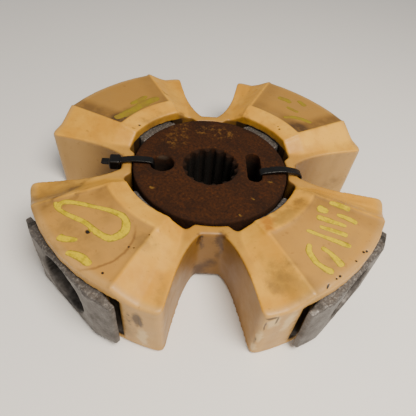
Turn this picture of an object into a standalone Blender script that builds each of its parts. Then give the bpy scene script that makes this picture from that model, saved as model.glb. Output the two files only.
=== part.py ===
"""Pump coupling: a four-lobe plastic element on a splined steel hub.

The moulded element grips four cast aluminium inserts. A radial screw through
each insert would hold it to the hub; the screws are out, and two cable ties
keep the loose hub in the element. Metres, +Z up, standing on the lobes' flat
undersides, with the origin under the hub's axis and a lobe on each of +X, +Y,
-X and -Y.
"""

import math

import bmesh
import bpy
from mathutils import Matrix, Vector
from mathutils.geometry import interpolate_bezier

MM = 0.001
CLEARANCE = 0.3 * MM  # between pieces that touch in the real coupling
OVERCUT = 5 * MM  # how far a cutter runs past the face it cuts

# Element: four lobes round a ring, moulded in one piece
LOBES = 4
LOBE_RADIUS = 99.3 * MM
LOBE_HALF_ANGLE = 32.5  # degrees, from a lobe's middle to its corner
LOBE_CORNER_SETBACK = 3.2 * MM
DRAFT = 1.3 * MM  # how much the lobes and the ring draw in from their top to their base
OPENING_GAP = 4.7 * MM  # round the hub, behind each lobe
SEAT_HALF_ANGLE = 10.5  # degrees of ring that touches the hub, from a gap's middle
SEAT_STEP_ANGLE = 4.8
RING_WALL = 6.5 * MM
RING_BASE = 1.85 * MM
RING_TOP = 39.95 * MM
RING_RELIEF_REACH = 11 * MM  # out from the hub's side
RELIEF_SLOPE_RUN = 3 * MM
WING_TOP = 41 * MM  # the low shoulder beside each gap
PAD_TOP = 47.7 * MM
PAD_HALF_ANGLE = 18.6
PAD_RECESS = 0.9 * MM
PAD_RECESS_SLOPE_RUN = 1.3 * MM
RAMP_SLOPE = 0.6  # fall of the pad's flank for each metre across it
BAND_REACH = 16 * MM  # out from the hub's side, over the raised band between opening and pad
BAND_HALF_ANGLE = 20.5
LIP_TOP = 45.3 * MM
OUTER_EDGE_ROUND = 1.9 * MM
LIP_EDGE_ROUND = 1.2 * MM
BASE_EDGE_ROUND = 1.8 * MM
SHORT_SECTION = 4 * MM  # a section that ends less than this past a radius takes its share

# Gap between two lobes: a flat floor and two walls that open outwards
FLOOR_HALF_WIDTH = 5.5 * MM
WALL_START_ANGLE = 43  # degrees from the gap's middle line
WALL_START_PULL = 9.9 * MM
WALL_END_ANGLE = 9.9
WALL_END_PULL = 27.5 * MM
WALL_POINTS = 8

# Insert: a cast block with a wide outer plate
INSERT_BASE = 2.7 * MM
INSERT_HEIGHT = 36.4 * MM
FOOT_HALF_ANGLE = 17  # degrees of hub that the insert's foot covers
FOOT_LENGTH = 4 * MM
FOOT_NECK_STEP = 1.2 * MM
WEB_END_SETBACK = 7.3 * MM  # from the plate's back to where the web starts to widen
WEB_HALF_WIDTH = 20.5 * MM
WEB_FILLET_CONTROL = 1.5 * MM
PLATE_STAND_OUT = 2 * MM  # how far the plate's face stands proud of the lobe
PLATE_THICKNESS = 7.3 * MM
PLATE_ROOT_HALF_WIDTH = 27 * MM
PLATE_HALF_WIDTH = 35.1 * MM
PLATE_TIP_THICKNESS = 3.4 * MM
PLATE_FLAT_HALF_WIDTH = 22.9 * MM
PLATE_CORNER_DROP = 1.6 * MM
PLATE_CORNER_RUN = 8 * MM
INSERT_EDGE_ROUND = 0.8 * MM
POCKET_END_GAP = 3.4 * MM
POCKET_SHOULDER = 4 * MM
POCKET_MOUTH_FLARE = 2 * MM
SCREW_HEAD_BORE = 32 * MM
SCREW_HEAD_DEPTH = 29 * MM
SCREW_SHANK_BORE = 17 * MM
BORE_MOUTH_CHAMFER = 1 * MM

# Hub: a steel disc with a splined bore
HUB_RADIUS = 45 * MM
HUB_BASE = 1.9 * MM
HUB_TOP = 40.9 * MM
HUB_CHAMFER = 0.8 * MM
SPLINE_TEETH = 14
SPLINE_MODULE = 2.1167 * MM  # twelve teeth for each inch of pitch diameter
SPLINE_PRESSURE_ANGLE = 30
SPLINE_ROOT_DIAMETER = 31.75 * MM
SPLINE_TIP_DIAMETER = 27.5 * MM
SPLINE_LEAD_IN = 0.7 * MM
FLANK_POINTS = 4
HUB_SCREW_BORE = 14 * MM
HUB_SCREW_WALL = 8.125 * MM  # left between the hole's straight end and the spline's roots
DRILL_POINT_ANGLE = 118
FACE_HOLE_DIAMETER = 13 * MM
FACE_HOLE_PLACE = 0.4163  # share of the way from the spline's roots to the hub's side
FACE_HOLE_CHAMFER = 0.8 * MM
FACE_SLOT_WIDTH = 8 * MM
FACE_SLOT_HALF_ANGLE = 25.66  # degrees, from the slot's middle to its end
FACE_SLOT_PLACE = 0.327

# Cable ties: one closed loop each, through a face hole and round the ring
STRAP_WIDTH = 4.8 * MM
STRAP_THICKNESS = 1.2 * MM
STRAP_BEND = 1.1 * MM
STRAP_GAP = 0.25 * MM
CROWN_SPREAD = 0.24  # how much of the strap's span its crown's curve takes to each side
HEAD_LENGTH = 6.2 * MM
HEAD_WIDTH = 7.2 * MM
HEAD_HEIGHT = 6.2 * MM
HEAD_RIB = 2.3 * MM
TAIL_LENGTH = 5.1 * MM
TAIL_DROP = 2.2 * MM  # from the strap over the hub down to the tail
TAIL_CUT_SLANT = 1.6 * MM
SLOT_TIE_OFFSET = 5.6 * MM  # from the slot's middle, towards one end
SLOT_TIE_SLANT = 5  # degrees, back towards the gap's middle

LOBE_PITCH = 360 / LOBES
SEAT_RADIUS = HUB_RADIUS + CLEARANCE
FLOOR_RADIUS = SEAT_RADIUS + RING_WALL
OPENING_RADIUS = HUB_RADIUS + OPENING_GAP
HUB_WALL = HUB_RADIUS - SPLINE_ROOT_DIAMETER / 2
HUB_SCREW_DEPTH = HUB_WALL - HUB_SCREW_WALL
FACE_HOLE_RADIUS = HUB_RADIUS - HUB_WALL * (1 - FACE_HOLE_PLACE)
FACE_SLOT_RADIUS = HUB_RADIUS - HUB_WALL * (1 - FACE_SLOT_PLACE)
FACE_SLOT_LENGTH = 2 * FACE_SLOT_RADIUS * math.tan(math.radians(FACE_SLOT_HALF_ANGLE))
RING_RELIEF_RADIUS = HUB_RADIUS + RING_RELIEF_REACH
BAND_RADIUS = HUB_RADIUS + BAND_REACH
PLATE_FACE_RADIUS = LOBE_RADIUS + PLATE_STAND_OUT
PLATE_BACK_RADIUS = PLATE_FACE_RADIUS - PLATE_THICKNESS
WEB_END_RADIUS = PLATE_BACK_RADIUS - WEB_END_SETBACK
INSERT_MIDDLE = INSERT_BASE + INSERT_HEIGHT / 2
SLOT_SIDE = LOBE_PITCH / 2  # the gap that the hub's slot lies towards
HOLE_SIDE = SLOT_SIDE + 180


def clear_scene():
    for obj in list(bpy.data.objects):
        bpy.data.objects.remove(obj, do_unlink=True)


def new_collection(name, hidden=False):
    collection = bpy.data.collections.new(name)
    bpy.context.scene.collection.children.link(collection)
    collection.hide_render = hidden
    return collection


clear_scene()
PARTS = new_collection("pump_coupling")
CUTTERS = new_collection("cutters", hidden=True)


def polar(radius, degrees):
    angle = math.radians(degrees)
    return Vector((radius * math.cos(angle), radius * math.sin(angle)))


def turned_about_z(point, degrees):
    return Matrix.Rotation(math.radians(degrees), 2) @ point


def mirrored_in_x(points):
    """The outline's other half, in reverse, for an outline that is symmetric about the X axis."""
    return [Vector((p.x, -p.y)) for p in reversed(points)]


def quadratic(start, control, end, steps):
    """Points of a quadratic Bezier, both ends included."""
    points = []
    for i in range(steps + 1):
        t = i / steps
        points.append((1 - t) ** 2 * start + 2 * t * (1 - t) * control + t**2 * end)
    return points


def smoothstep(low, high, value):
    t = min(max((value - low) / (high - low), 0), 1)
    return t * t * (3 - 2 * t)


def as_cutter(obj):
    for collection in list(obj.users_collection):
        collection.objects.unlink(obj)
    CUTTERS.objects.link(obj)
    obj.hide_render = True
    obj.display_type = "WIRE"
    return obj


def mesh_object(name, mesh):
    obj = bpy.data.objects.new(name, mesh)
    PARTS.objects.link(obj)
    return obj


def frozen(obj):
    """A mesh with the object's modifiers and place applied; the object itself is removed."""
    bpy.context.view_layer.update()
    graph = bpy.context.evaluated_depsgraph_get()
    mesh = bpy.data.meshes.new_from_object(obj.evaluated_get(graph))
    mesh.transform(obj.matrix_world)
    bpy.data.objects.remove(obj, do_unlink=True)
    return mesh


def weld(mesh, distance=1e-6):
    bm = bmesh.new()
    bm.from_mesh(mesh)
    bmesh.ops.remove_doubles(bm, verts=bm.verts, dist=distance)
    bmesh.ops.recalc_face_normals(bm, faces=bm.faces)
    bm.to_mesh(mesh)
    bm.free()
    return mesh


def plate(name, outline, low, high):
    """A flat outline in XY, extruded from low to high."""
    curve = bpy.data.curves.new(name, "CURVE")
    curve.dimensions = "2D"
    curve.fill_mode = "BOTH"
    curve.extrude = (high - low) / 2
    spline = curve.splines.new("POLY")
    spline.points.add(len(outline) - 1)
    for point, place in zip(spline.points, outline):
        point.co = (place[0], place[1], 0, 1)
    spline.use_cyclic_u = True
    drawn = bpy.data.objects.new(name, curve)
    PARTS.objects.link(drawn)
    drawn.location.z = (low + high) / 2
    return mesh_object(name, weld(frozen(drawn)))


def turned(name, profile, steps=48):
    """A solid of revolution about Z. The profile runs from the top of the axis to its foot."""
    mesh = bpy.data.meshes.new(name)
    edges = [(i, i + 1) for i in range(len(profile) - 1)]
    mesh.from_pydata([(radius, 0, height) for radius, height in profile], edges, [])
    obj = mesh_object(name, mesh)
    screw = obj.modifiers.new("turn", "SCREW")
    screw.steps = steps
    screw.render_steps = steps
    screw.use_merge_vertices = True
    screw.merge_threshold = 1e-6
    return mesh_object(name, weld(frozen(obj)))


def cut(obj, cutter):
    boolean = obj.modifiers.new(f"cut {cutter.name}", "BOOLEAN")
    boolean.operation = "DIFFERENCE"
    boolean.solver = "EXACT"
    boolean.object = cutter


def round_edges(obj, width, segments=2, sharper_than=40):
    bevel = obj.modifiers.new("round edges", "BEVEL")
    bevel.width = width
    bevel.segments = segments
    bevel.limit_method = "ANGLE"
    bevel.angle_limit = math.radians(sharper_than)


def shade(obj, degrees=32):
    obj.data.shade_smooth()
    obj.data.set_sharp_from_angle(angle=math.radians(degrees))


def material(name, colour, roughness, metallic=0.0):
    made = bpy.data.materials.new(name)
    made.use_nodes = True
    surface = made.node_tree.nodes["Principled BSDF"]
    surface.inputs["Base Color"].default_value = (*colour, 1)
    surface.inputs["Roughness"].default_value = roughness
    surface.inputs["Metallic"].default_value = metallic
    return made


def lobe_angles():
    return [LOBE_PITCH * i for i in range(LOBES)]


# Element


def opening_radius(from_gap):
    """Radius of the opening round the hub, this many degrees from a gap's middle."""
    step = smoothstep(SEAT_HALF_ANGLE, SEAT_HALF_ANGLE + SEAT_STEP_ANGLE, from_gap)
    return SEAT_RADIUS + (OPENING_RADIUS - SEAT_RADIUS) * step


def gap_wall(draft):
    """One gap wall in plan, from the lobe's corner to the floor, for a lobe along +X."""
    gap_line = LOBE_PITCH / 2
    mouth = polar(LOBE_RADIUS - draft, LOBE_HALF_ANGLE)
    floor = turned_about_z(Vector((FLOOR_RADIUS - draft, -FLOOR_HALF_WIDTH - draft)), gap_line)
    mouth_pull = mouth - polar(WALL_END_PULL, gap_line - WALL_END_ANGLE)
    floor_pull = floor + polar(WALL_START_PULL, gap_line - WALL_START_ANGLE)
    return [p.xy for p in interpolate_bezier(mouth, mouth_pull, floor_pull, floor, WALL_POINTS + 1)]


def rim_angles():
    """Where sections meet a lobe's rim, in degrees from its middle."""
    crest = PAD_HALF_ANGLE
    angles = [0, 6, 12, crest - 0.8, crest + 0.1, BAND_HALF_ANGLE - 0.2, BAND_HALF_ANGLE + 0.3]
    return angles + [23.2, 26, 29]


def half_outline(draft):
    """Half a lobe's outline in plan, from its middle to a gap's middle, drawn in by draft."""
    rim = [polar(LOBE_RADIUS - draft, angle) for angle in rim_angles()]
    wall = gap_wall(draft)
    along_rim = (rim[-1] - wall[0]).normalized()
    along_wall = (wall[1] - wall[0]).normalized()
    corner = quadratic(
        wall[0] + along_rim * LOBE_CORNER_SETBACK,
        wall[0],
        wall[0] + along_wall * LOBE_CORNER_SETBACK,
        2,
    )
    return rim + corner + wall[1:] + [polar(FLOOR_RADIUS - draft, LOBE_PITCH / 2)]


def half_lobe_sections():
    """Plan points on the opening, on the outline's top and on its base, from middle to gap."""
    top, base = half_outline(0), half_outline(DRAFT)
    angles = rim_angles()
    beside_rim = len(top) - len(angles) - 1
    first = angles[-1] + 1.5
    floor_angle = LOBE_PITCH / 2 - math.degrees(math.atan2(FLOOR_HALF_WIDTH, FLOOR_RADIUS))
    step = (floor_angle - first) / (beside_rim - 1)
    angles += [first + step * i for i in range(beside_rim)] + [LOBE_PITCH / 2]
    opening = [polar(opening_radius(LOBE_PITCH / 2 - angle), angle) for angle in angles]
    return list(zip(opening, top, base))


def from_lobe_middle(point):
    """Radius of a plan point, and its angle from the nearest lobe's middle."""
    angle = math.degrees(math.atan2(point.y, point.x)) % LOBE_PITCH
    return point.length, min(angle, LOBE_PITCH - angle)


def top_height(point):
    radius, angle = from_lobe_middle(point)
    across = (radius - FLOOR_RADIUS) / (LOBE_RADIUS - FLOOR_RADIUS)
    shoulder = RING_TOP + (WING_TOP - RING_TOP) * min(max(across, 0), 1)
    on_band = radius < BAND_RADIUS + 0.05 * MM
    crown = PAD_TOP
    if on_band:
        rise = (radius - OPENING_RADIUS) / (BAND_RADIUS - OPENING_RADIUS)
        crown = LIP_TOP + (PAD_TOP - LIP_TOP) * max(rise, 0)
    elif angle < PAD_HALF_ANGLE - 0.4:
        crown = PAD_TOP - PAD_RECESS
    flank_starts = BAND_HALF_ANGLE if on_band else PAD_HALF_ANGLE
    if angle > flank_starts:
        crown -= RAMP_SLOPE * radius * math.sin(math.radians(angle - PAD_HALF_ANGLE))
    return max(crown, shoulder)


def base_height(point):
    """The underside is flat but for a shallow relief round the hub."""
    over = (point.length - RING_RELIEF_RADIUS) / RELIEF_SLOPE_RUN
    return RING_BASE * (1 - min(max(over, 0), 1))


def distance_to_radius(start, direction, radius):
    along = start.dot(direction)
    return -along + math.sqrt(along**2 + radius**2 - start.length_squared)


def section_points(inner, outer, foot_outer):
    """One section of the element as a closed loop, from the lip over the top and back below."""

    def station(end, radius):
        """How far along a section a radius lies; a section too short for it takes its share."""
        if end.length > radius + SHORT_SECTION:
            return distance_to_radius(inner, (end - inner).normalized(), radius)
        return (end - inner).length * (radius - OPENING_RADIUS) / (LOBE_RADIUS - OPENING_RADIUS)

    def on_top(distance, lower=0.0):
        place = inner + (outer - inner).normalized() * distance
        return Vector((*place, top_height(place) - lower))

    def on_base(distance, raised=0.0):
        place = inner + (foot_outer - inner).normalized() * distance
        return Vector((*place, base_height(place) + raised))

    length = (outer - inner).length
    foot_length = (foot_outer - inner).length
    lip, rim, foot = LIP_EDGE_ROUND, OUTER_EDGE_ROUND, BASE_EDGE_ROUND
    knee = 0.3  # where an edge's rounding passes, as a share of its size
    band = station(outer, BAND_RADIUS)
    pad = station(outer, BAND_RADIUS + PAD_RECESS_SLOPE_RUN)
    pad_middle = pad + (length - rim - pad) * 0.45
    relief = station(foot_outer, RING_RELIEF_RADIUS)
    relief_end = station(foot_outer, RING_RELIEF_RADIUS + RELIEF_SLOPE_RUN)
    return [
        on_top(0, lip),
        on_top(knee * lip, knee * lip),
        on_top(max(lip, band * 0.1)),
        on_top(max(band, lip * 1.2)),
        on_top(max(pad, lip * 1.4)),
        on_top(pad_middle),
        on_top(length - rim),
        on_top(length - knee * rim, knee * rim),
        on_top(length, rim),
        on_base(foot_length, foot),
        on_base(foot_length - knee * foot, knee * foot),
        on_base(foot_length - foot),
        on_base(max(relief_end, lip * 1.4)),
        on_base(max(relief, lip * 1.2)),
        on_base(lip),
        on_base(0, lip),
    ]


def element_mesh():
    half = half_lobe_sections()
    other_half = [
        tuple(Vector((p.x, -p.y)) for p in section) for section in reversed(half[1:])
    ]
    lobe = (other_half + half)[:-1]
    bm = bmesh.new()
    loops = []
    for turn in lobe_angles():
        for section in lobe:
            points = section_points(*[turned_about_z(point, turn) for point in section])
            loops.append([bm.verts.new(point) for point in points])
    for i, loop in enumerate(loops):
        following = loops[(i + 1) % len(loops)]
        for j, corner in enumerate(loop):
            k = (j + 1) % len(loop)
            bm.faces.new((corner, following[j], following[k], loop[k]))
    bmesh.ops.recalc_face_normals(bm, faces=bm.faces)
    mesh = bpy.data.meshes.new("flex_element")
    bm.to_mesh(mesh)
    bm.free()
    return mesh


# Insert


def web_side(gap=0.0):
    """The insert's flank in plan, from the foot to the back of its plate, moved out by gap."""
    foot_corner = polar(SEAT_RADIUS + FOOT_LENGTH, FOOT_HALF_ANGLE)
    neck = Vector((foot_corner.x + FOOT_NECK_STEP, foot_corner.y - FOOT_NECK_STEP + gap))
    web = Vector((WEB_END_RADIUS, WEB_HALF_WIDTH + gap))
    back = Vector((PLATE_BACK_RADIUS - gap, PLATE_ROOT_HALF_WIDTH + gap))
    control = Vector((PLATE_BACK_RADIUS - gap, WEB_HALF_WIDTH + gap + WEB_FILLET_CONTROL))
    return [neck] + quadratic(web, control, back, 3)


def insert_outline():
    foot = [polar(SEAT_RADIUS, FOOT_HALF_ANGLE * i / 3) for i in range(4)]
    foot.append(polar(SEAT_RADIUS + FOOT_LENGTH, FOOT_HALF_ANGLE))
    plate_tip = [
        Vector((PLATE_BACK_RADIUS, PLATE_HALF_WIDTH)),
        Vector((PLATE_BACK_RADIUS + PLATE_TIP_THICKNESS, PLATE_HALF_WIDTH)),
        Vector((PLATE_FACE_RADIUS, PLATE_FLAT_HALF_WIDTH)),
    ]
    half = foot + web_side() + plate_tip
    return half + mirrored_in_x(half[1:])


def pocket_outline():
    """The insert's room in the element, open to the hub and to the outside."""
    start = SEAT_RADIUS - OVERCUT
    side = web_side(CLEARANCE)
    foot_side = polar(SEAT_RADIUS + FOOT_LENGTH, FOOT_HALF_ANGLE)
    wide = foot_side.y + CLEARANCE
    foot = [
        Vector((start, wide)),
        Vector((foot_side.x + CLEARANCE, wide)),
    ]
    end = PLATE_HALF_WIDTH + POCKET_END_GAP
    relief = quadratic(
        Vector((PLATE_BACK_RADIUS - POCKET_END_GAP, PLATE_ROOT_HALF_WIDTH + POCKET_SHOULDER)),
        Vector((PLATE_BACK_RADIUS - POCKET_END_GAP, end)),
        Vector((LOBE_RADIUS + OVERCUT, end + POCKET_MOUTH_FLARE)),
        3,
    )
    half = foot + side + relief
    return half + mirrored_in_x(half)


def insert_side_profile():
    """The insert seen along its bore, with its plate's four outer corners dropped."""
    half_height = INSERT_HEIGHT / 2
    slope = PLATE_CORNER_DROP / PLATE_CORNER_RUN
    corner_start = PLATE_HALF_WIDTH - PLATE_CORNER_RUN
    corner = [
        Vector((y, half_height - slope * (y - corner_start)))
        for y in (PLATE_HALF_WIDTH + OVERCUT, corner_start - OVERCUT)
    ]
    quarter = corner + [Vector((-p.x, p.y)) for p in reversed(corner)]
    return quarter + [Vector((p.x, -p.y)) for p in reversed(quarter)]


def along_x(obj, height):
    """Turns a shape drawn along Z to lie along +X at this height."""
    obj.matrix_world = Matrix.Translation((0, 0, height)) @ Matrix.Rotation(math.pi / 2, 4, "Y")


def screw_bore_cutter():
    """The screw head's deep bore and its shank hole, about Z, with the mouth upwards."""
    head, shank = SCREW_HEAD_BORE / 2, SCREW_SHANK_BORE / 2
    mouth = PLATE_FACE_RADIUS
    profile = [
        (0, mouth + OVERCUT),
        (head + BORE_MOUTH_CHAMFER + OVERCUT, mouth + OVERCUT),
        (head, mouth - BORE_MOUTH_CHAMFER),
        (head, mouth - SCREW_HEAD_DEPTH),
        (shank, mouth - SCREW_HEAD_DEPTH),
        (shank, SEAT_RADIUS - OVERCUT),
        (0, SEAT_RADIUS - OVERCUT),
    ]
    return as_cutter(turned("insert_bore_cutter", profile, 40))


def insert_mesh():
    blank = plate("insert_blank", insert_outline(), INSERT_BASE, INSERT_BASE + INSERT_HEIGHT)
    round_edges(blank, INSERT_EDGE_ROUND, 1)
    side = plate("insert_side", insert_side_profile(), SEAT_RADIUS - 3 * OVERCUT, PLATE_FACE_RADIUS + OVERCUT)
    side.data.transform(Matrix.Rotation(math.pi / 2, 4, "Z"))
    along_x(as_cutter(side), INSERT_MIDDLE)
    trim = blank.modifiers.new("drop corners", "BOOLEAN")
    trim.operation = "INTERSECT"
    trim.solver = "EXACT"
    trim.object = side
    bore = screw_bore_cutter()
    along_x(bore, INSERT_MIDDLE)
    cut(blank, bore)
    return frozen(blank)


# Hub


def involute(angle):
    return math.tan(angle) - angle


def spline_outline():
    """The splined bore in plan: involute flanks between root and tip diameters."""
    pitch_radius = SPLINE_MODULE * SPLINE_TEETH / 2
    pressure = math.radians(SPLINE_PRESSURE_ANGLE)
    base_radius = pitch_radius * math.cos(pressure)
    root, tip = SPLINE_ROOT_DIAMETER / 2, SPLINE_TIP_DIAMETER / 2
    half_space = math.pi / 2 / SPLINE_TEETH + involute(pressure)
    flank = []
    for i in range(FLANK_POINTS):
        radius = tip + (root - tip) * i / (FLANK_POINTS - 1)
        turn = half_space - involute(math.acos(base_radius / radius))
        flank.append((radius, math.degrees(turn)))
    outline = []
    for tooth in range(SPLINE_TEETH):
        middle = 360 / SPLINE_TEETH * tooth
        outline += [polar(radius, middle - turn) for radius, turn in flank]
        outline += [polar(radius, middle + turn) for radius, turn in reversed(flank)]
    return outline


def lead_in_cutter():
    """A cone that breaks the spline's edge where it meets the hub's top face."""
    root = SPLINE_ROOT_DIAMETER / 2
    profile = [
        (0, HUB_TOP + OVERCUT),
        (root + SPLINE_LEAD_IN + OVERCUT, HUB_TOP + OVERCUT),
        (root - SPLINE_LEAD_IN, HUB_TOP - 2 * SPLINE_LEAD_IN),
        (0, HUB_TOP - 2 * SPLINE_LEAD_IN),
    ]
    return as_cutter(turned("spline_lead_in", profile, 40))


def face_hole_cutter():
    """A drilled hole right through the hub, with a chamfer at both ends."""
    hole = FACE_HOLE_DIAMETER / 2
    profile = [
        (0, HUB_TOP + OVERCUT),
        (hole + FACE_HOLE_CHAMFER + OVERCUT, HUB_TOP + OVERCUT),
        (hole, HUB_TOP - FACE_HOLE_CHAMFER),
        (hole, HUB_BASE + FACE_HOLE_CHAMFER),
        (hole + FACE_HOLE_CHAMFER + OVERCUT, HUB_BASE - OVERCUT),
        (0, HUB_BASE - OVERCUT),
    ]
    return as_cutter(turned("face_hole_cutter", profile, 32))


def on_underside(cutter):
    """The same cutter, mirrored to the hub's other face."""
    mesh = cutter.data.copy()
    middle = Matrix.Translation((0, 0, HUB_TOP + HUB_BASE))
    mesh.transform(middle @ Matrix.Scale(-1, 4, (0, 0, 1)))
    mesh.flip_normals()
    return as_cutter(mesh_object(f"{cutter.name}_below", mesh))


def hub_screw_cutter():
    """A drilled radial hole, about Z with its mouth upwards."""
    radius = HUB_SCREW_BORE / 2
    floor = HUB_RADIUS - HUB_SCREW_DEPTH
    point = floor - radius / math.tan(math.radians(DRILL_POINT_ANGLE / 2))
    profile = [(0, HUB_RADIUS + OVERCUT), (radius, HUB_RADIUS + OVERCUT), (radius, floor), (0, point)]
    return turned("hub_screw_cutter", profile, 24)


def slot_outline():
    """A straight slot with round ends, its length along Y."""
    radius = FACE_SLOT_WIDTH / 2
    end = FACE_SLOT_LENGTH / 2 - radius
    half = [Vector((0, end)) + polar(radius, 180 * i / 10) for i in range(11)]
    return [Vector((FACE_SLOT_RADIUS, 0)) + p for p in half + [-p for p in half]]


def hub():
    edge = HUB_RADIUS - HUB_CHAMFER
    profile = [
        (0, HUB_TOP),
        (edge, HUB_TOP),
        (HUB_RADIUS, HUB_TOP - HUB_CHAMFER),
        (HUB_RADIUS, HUB_BASE + HUB_CHAMFER),
        (edge, HUB_BASE),
        (0, HUB_BASE),
    ]
    body = turned("hub_blank", profile, 72)
    spline = plate("spline_cutter", spline_outline(), HUB_BASE - OVERCUT, HUB_TOP + OVERCUT)
    cut(body, as_cutter(spline))
    lead_in = lead_in_cutter()
    cut(body, lead_in)
    cut(body, on_underside(lead_in))
    drill = face_hole_cutter()
    drill.location = (*polar(FACE_HOLE_RADIUS, HOLE_SIDE), 0)
    cut(body, drill)
    slot = as_cutter(plate("face_slot_cutter", slot_outline(), HUB_BASE - OVERCUT, HUB_TOP + OVERCUT))
    slot.rotation_euler.z = math.radians(SLOT_SIDE)
    cut(body, slot)
    master = hub_screw_cutter()
    for i, turn in enumerate(lobe_angles()):
        cutter = as_cutter(mesh_object(f"hub_screw_cutter_{i + 1}", master.data))
        along_x(cutter, INSERT_MIDDLE)
        cutter.matrix_world = Matrix.Rotation(math.radians(turn), 4, "Z") @ cutter.matrix_world
        cut(body, cutter)
    bpy.data.objects.remove(master, do_unlink=True)
    return body


# Cable ties


def rounded_loop(corners, steps=4):
    """A closed outline with each corner (point, setback) rounded by a curve of that setback."""
    outline = []
    count = len(corners)
    for i, (corner, setback) in enumerate(corners):
        before = (corners[i - 1][0] - corner).normalized()
        after = (corners[(i + 1) % count][0] - corner).normalized()
        outline += quadratic(corner + before * setback, corner, corner + after * setback, steps)
    return outline


def clear_of_floor(hub_side, slant, half_width):
    """Where a piece this wide clears the gap's floor, along a plane turned by slant at hub_side."""
    turn = math.radians(slant)
    reach = FLOOR_RADIUS + STRAP_GAP + half_width * math.sin(turn) - hub_side
    return hub_side + reach / math.cos(turn)


def strap_loops(hub_side, slant, arch, start_height):
    """Inner and outer outline of the strap in its own plane: X from the hub's axis, Y upwards."""
    wall = clear_of_floor(hub_side, slant, STRAP_WIDTH / 2)
    above = HUB_TOP + STRAP_GAP
    below = RING_BASE - STRAP_GAP
    crown = (hub_side + wall) / 2 + STRAP_WIDTH / 2
    inner = [
        (Vector((hub_side, below)), STRAP_BEND * 0.5),
        (Vector((wall, below)), STRAP_BEND),
        (Vector((wall, above - 1 * MM)), STRAP_BEND * 1.6),
        (Vector((crown, above + arch)), (wall - hub_side) * CROWN_SPREAD),
        (Vector((hub_side, above + start_height)), STRAP_BEND * 1.6),
    ]
    t = STRAP_THICKNESS
    offsets = [Vector((-t, -t)), Vector((t, -t)), Vector((t, t * 0.9)), Vector((0, t)), Vector((-t, t * 0.9))]
    outer = [(point + move, setback + t) for (point, setback), move in zip(inner, offsets)]
    return rounded_loop(inner), rounded_loop(outer)


def ring_plate(name, outer, inner, half_width):
    """A flat closed band: the outer outline with the inner one cut out of it, as one extrusion."""
    curve = bpy.data.curves.new(name, "CURVE")
    curve.dimensions = "2D"
    curve.fill_mode = "BOTH"
    curve.extrude = half_width
    for outline in (outer, inner):
        spline = curve.splines.new("POLY")
        spline.points.add(len(outline) - 1)
        for point, place in zip(spline.points, outline):
            point.co = (place[0], place[1], 0, 1)
        spline.use_cyclic_u = True
    drawn = bpy.data.objects.new(name, curve)
    PARTS.objects.link(drawn)
    return mesh_object(name, weld(frozen(drawn)))


def cable_tie(name, gap_line, hub_side, offset, slant, arch, start_height, head_on_top):
    """A closed tie in an upright plane that leaves the hub at hub_side, offset along the gap's width."""
    inner, outer = strap_loops(hub_side, slant, arch, start_height)
    strap = ring_plate(name, outer, inner, STRAP_WIDTH / 2)
    low_x = clear_of_floor(hub_side, slant, HEAD_WIDTH / 2)
    if head_on_top:
        run = HUB_TOP + STRAP_GAP - TAIL_DROP
        middle = run + STRAP_THICKNESS + HEAD_RIB - HEAD_HEIGHT / 2
    else:
        run = RING_BASE - STRAP_GAP
        middle = run - STRAP_THICKNESS + HEAD_HEIGHT / 2
    head_outline = [
        Vector((low_x, middle - HEAD_HEIGHT / 2)),
        Vector((low_x + HEAD_LENGTH, middle - HEAD_HEIGHT / 2)),
        Vector((low_x + HEAD_LENGTH, middle + HEAD_HEIGHT / 2)),
        Vector((low_x, middle + HEAD_HEIGHT / 2)),
    ]
    head = plate(f"{name}_head", head_outline, -HEAD_WIDTH / 2, HEAD_WIDTH / 2)
    round_edges(head, STRAP_THICKNESS * 0.6, 2)
    tail_low = run if head_on_top else run - STRAP_THICKNESS
    tail_end = low_x + HEAD_LENGTH + TAIL_LENGTH
    tail_outline = [
        Vector((low_x + HEAD_LENGTH / 2, tail_low)),
        Vector((tail_end - TAIL_CUT_SLANT, tail_low)),
        Vector((tail_end, tail_low + STRAP_THICKNESS)),
        Vector((low_x + HEAD_LENGTH / 2, tail_low + STRAP_THICKNESS)),
    ]
    tail = plate(f"{name}_tail", tail_outline, -STRAP_WIDTH / 2, STRAP_WIDTH / 2)
    for piece in (head, tail):
        joined = strap.modifiers.new(f"join {piece.name}", "BOOLEAN")
        joined.operation = "UNION"
        joined.solver = "EXACT"
        joined.object = as_cutter(piece)
    upright = mesh_object(name, frozen(strap))
    upright.name = name
    pivot = Vector((hub_side, 0, 0))
    upright.data.transform(
        Matrix.Rotation(math.radians(gap_line), 4, "Z")
        @ Matrix.Translation(pivot + Vector((0, offset, 0)))
        @ Matrix.Rotation(math.radians(slant), 4, "Z")
        @ Matrix.Translation(-pivot)
        @ Matrix.Rotation(math.pi / 2, 4, "X")
    )
    return upright


# The pieces


PLASTIC = material("tan moulded elastomer", (0.58, 0.37, 0.15), 0.5)
CASTING = material("cast aluminium", (0.36, 0.34, 0.32), 0.55, 0.8)
RUSTED_STEEL = material("rusted steel", (0.09, 0.035, 0.015), 0.85, 0.1)
NYLON = material("black nylon", (0.012, 0.013, 0.015), 0.4)

blank = mesh_object("element_blank", element_mesh())
pocket = plate("pocket_cutter", pocket_outline(), INSERT_BASE - CLEARANCE, INSERT_BASE + INSERT_HEIGHT + CLEARANCE)
for number, turn in enumerate(lobe_angles()):
    cutter = as_cutter(mesh_object(f"pocket_cutter_{number + 1}", pocket.data))
    cutter.rotation_euler.z = math.radians(turn)
    cut(blank, cutter)
bpy.data.objects.remove(pocket, do_unlink=True)
element = mesh_object("flex_element", frozen(blank))
element.data.materials.append(PLASTIC)
shade(element)

insert_shape = insert_mesh()
insert_shape.materials.append(CASTING)
for number, turn in enumerate(lobe_angles()):
    insert = mesh_object(f"aluminium_insert_{number + 1}", insert_shape)
    insert.rotation_euler.z = math.radians(turn)
shade(insert)

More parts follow.
